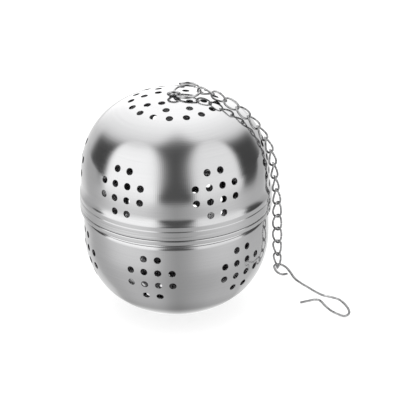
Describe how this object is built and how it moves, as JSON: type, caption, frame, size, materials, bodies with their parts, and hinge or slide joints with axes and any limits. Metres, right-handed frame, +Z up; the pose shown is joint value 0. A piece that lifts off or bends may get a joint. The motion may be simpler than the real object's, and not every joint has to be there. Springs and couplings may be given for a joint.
{
  "type": "tea infuser",
  "caption": "Perforated two-part steel ball that screws together round loose tea, with a chain and a wire hook to hang it from a cup's rim.",
  "frame": {"origin": "centre of the bowl's flat base, on the table", "axes": "+Z up through the closed ball, -Y is the front, and +X is the side the chain hangs on"},
  "size_m": [0.074, 0.053, 0.0644],
  "materials": {
    "shell_steel": "polished sheet with a soft satin haze",
    "chain_wire": "bright drawn wire",
    "hook_wire": "bright drawn wire"
  },
  "bodies": {
    "bowl": {"bowl": "shell_steel"},
    "lid": {"lid": "shell_steel"},
    "eye": {"eye": "chain_wire"},
    "ring": {"ring": "chain_wire"},
    "link_01": {"link_01": "chain_wire"},
    "link_02": {"link_02": "chain_wire"},
    "link_03": {"link_03": "chain_wire"},
    "link_04": {"link_04": "chain_wire"},
    "link_05": {"link_05": "chain_wire"},
    "link_06": {"link_06": "chain_wire"},
    "link_07": {"link_07": "chain_wire"},
    "link_08": {"link_08": "chain_wire"},
    "link_09": {"link_09": "chain_wire"},
    "link_10": {"link_10": "chain_wire"},
    "link_11": {"link_11": "chain_wire"},
    "link_12": {"link_12": "chain_wire"},
    "link_13": {"link_13": "chain_wire"},
    "link_14": {"link_14": "chain_wire"},
    "link_15": {"link_15": "chain_wire"},
    "link_16": {"link_16": "chain_wire"},
    "hook": {"hook": "hook_wire"}
  },
  "joints": [
    {"name": "lid_rise", "type": "slide", "parent": "bowl", "child": "eye", "axis": [0, 0, 1], "range_m": [0, 0.036]},
    {"name": "lid_turn", "type": "hinge", "parent": "eye", "child": "lid", "pos_m": [0, 0, 0.0618], "axis": [0, 0, 1], "range_deg": [0, 4320]},
    {"name": "ring_lift", "type": "hinge", "parent": "eye", "child": "ring", "pos_m": [0.0003, -0.00035, 0.06272], "axis": [0.3293, -0.9339, -0.139], "range_deg": [0, 90]},
    {"name": "link_01_lift", "type": "hinge", "parent": "ring", "child": "link_01", "pos_m": [0.0069, 0.00077, 0.0633], "axis": [-0.2181, -0.9729, 0.0768], "range_deg": [0, 25]},
    {"name": "link_02_lift", "type": "hinge", "parent": "link_01", "child": "link_02", "pos_m": [0.0106, -0.00012, 0.06245], "axis": [-0.4008, -0.904, 0.1488], "range_deg": [0, 20]},
    {"name": "link_03_lift", "type": "hinge", "parent": "link_02", "child": "link_03", "pos_m": [0.01385, -0.00177, 0.06121], "axis": [-0.2409, -0.9682, 0.0678], "range_deg": [0, 20]},
    {"name": "link_04_lift", "type": "hinge", "parent": "link_03", "child": "link_04", "pos_m": [0.01707, -0.0027, 0.05928], "axis": [-0.1564, -0.9877, 0], "range_deg": [0, 20]},
    {"name": "link_05_lift", "type": "hinge", "parent": "link_04", "child": "link_05", "pos_m": [0.02004, -0.00317, 0.05681], "axis": [-0.1564, -0.9877, 0], "range_deg": [0, 20]},
    {"name": "link_06_lift", "type": "hinge", "parent": "link_05", "child": "link_06", "pos_m": [0.02256, -0.00357, 0.05387], "axis": [-0.1564, -0.9877, 0], "range_deg": [0, 20]},
    {"name": "link_07_lift", "type": "hinge", "parent": "link_06", "child": "link_07", "pos_m": [0.02456, -0.00389, 0.05054], "axis": [-0.1564, -0.9877, 0], "range_deg": [0, 20]},
    {"name": "link_08_lift", "type": "hinge", "parent": "link_07", "child": "link_08", "pos_m": [0.02595, -0.00411, 0.04691], "axis": [-0.1564, -0.9877, 0], "range_deg": [0, 20]},
    {"name": "link_09_lift", "type": "hinge", "parent": "link_08", "child": "link_09", "pos_m": [0.02672, -0.00423, 0.04309], "axis": [-0.1564, -0.9877, 0], "range_deg": [0, 20]},
    {"name": "link_10_lift", "type": "hinge", "parent": "link_09", "child": "link_10", "pos_m": [0.02706, -0.00429, 0.03921], "axis": [-0.1564, -0.9877, 0], "range_deg": [0, 20]},
    {"name": "link_11_sway", "type": "hinge", "parent": "link_10", "child": "link_11", "pos_m": [0.0274, -0.00434, 0.03532], "axis": [0.9846, -0.1559, 0.0792], "range_deg": [-10, 10]},
    {"name": "link_12_lift", "type": "hinge", "parent": "link_11", "child": "link_12", "pos_m": [0.0277, -0.00439, 0.03144], "axis": [-0.1564, -0.9877, 0], "range_deg": [0, 12]},
    {"name": "link_13_sway", "type": "hinge", "parent": "link_12", "child": "link_13", "pos_m": [0.0277, -0.00439, 0.02754], "axis": [0.9877, -0.1564, 0], "range_deg": [-10, 10]},
    {"name": "link_14_lift", "type": "hinge", "parent": "link_13", "child": "link_14", "pos_m": [0.0277, -0.00439, 0.02364], "axis": [-0.1564, -0.9877, 0], "range_deg": [0, 12]},
    {"name": "link_15_sway", "type": "hinge", "parent": "link_14", "child": "link_15", "pos_m": [0.0277, -0.00439, 0.01974], "axis": [0.9877, -0.1564, 0], "range_deg": [-10, 10]},
    {"name": "link_16_lift", "type": "hinge", "parent": "link_15", "child": "link_16", "pos_m": [0.0277, -0.00439, 0.01584], "axis": [-0.1564, -0.9877, 0], "range_deg": [0, 12]},
    {"name": "hook_swing", "type": "hinge", "parent": "link_16", "child": "hook", "pos_m": [0.0277, -0.00439, 0.01194], "axis": [-0.4226, -0.9063, 0], "range_deg": [-60, 20]}
  ],
  "couplings": [
    {"joint": "lid_rise", "follows": "lid_turn", "m_per_rad": 0.00047746}
  ]
}
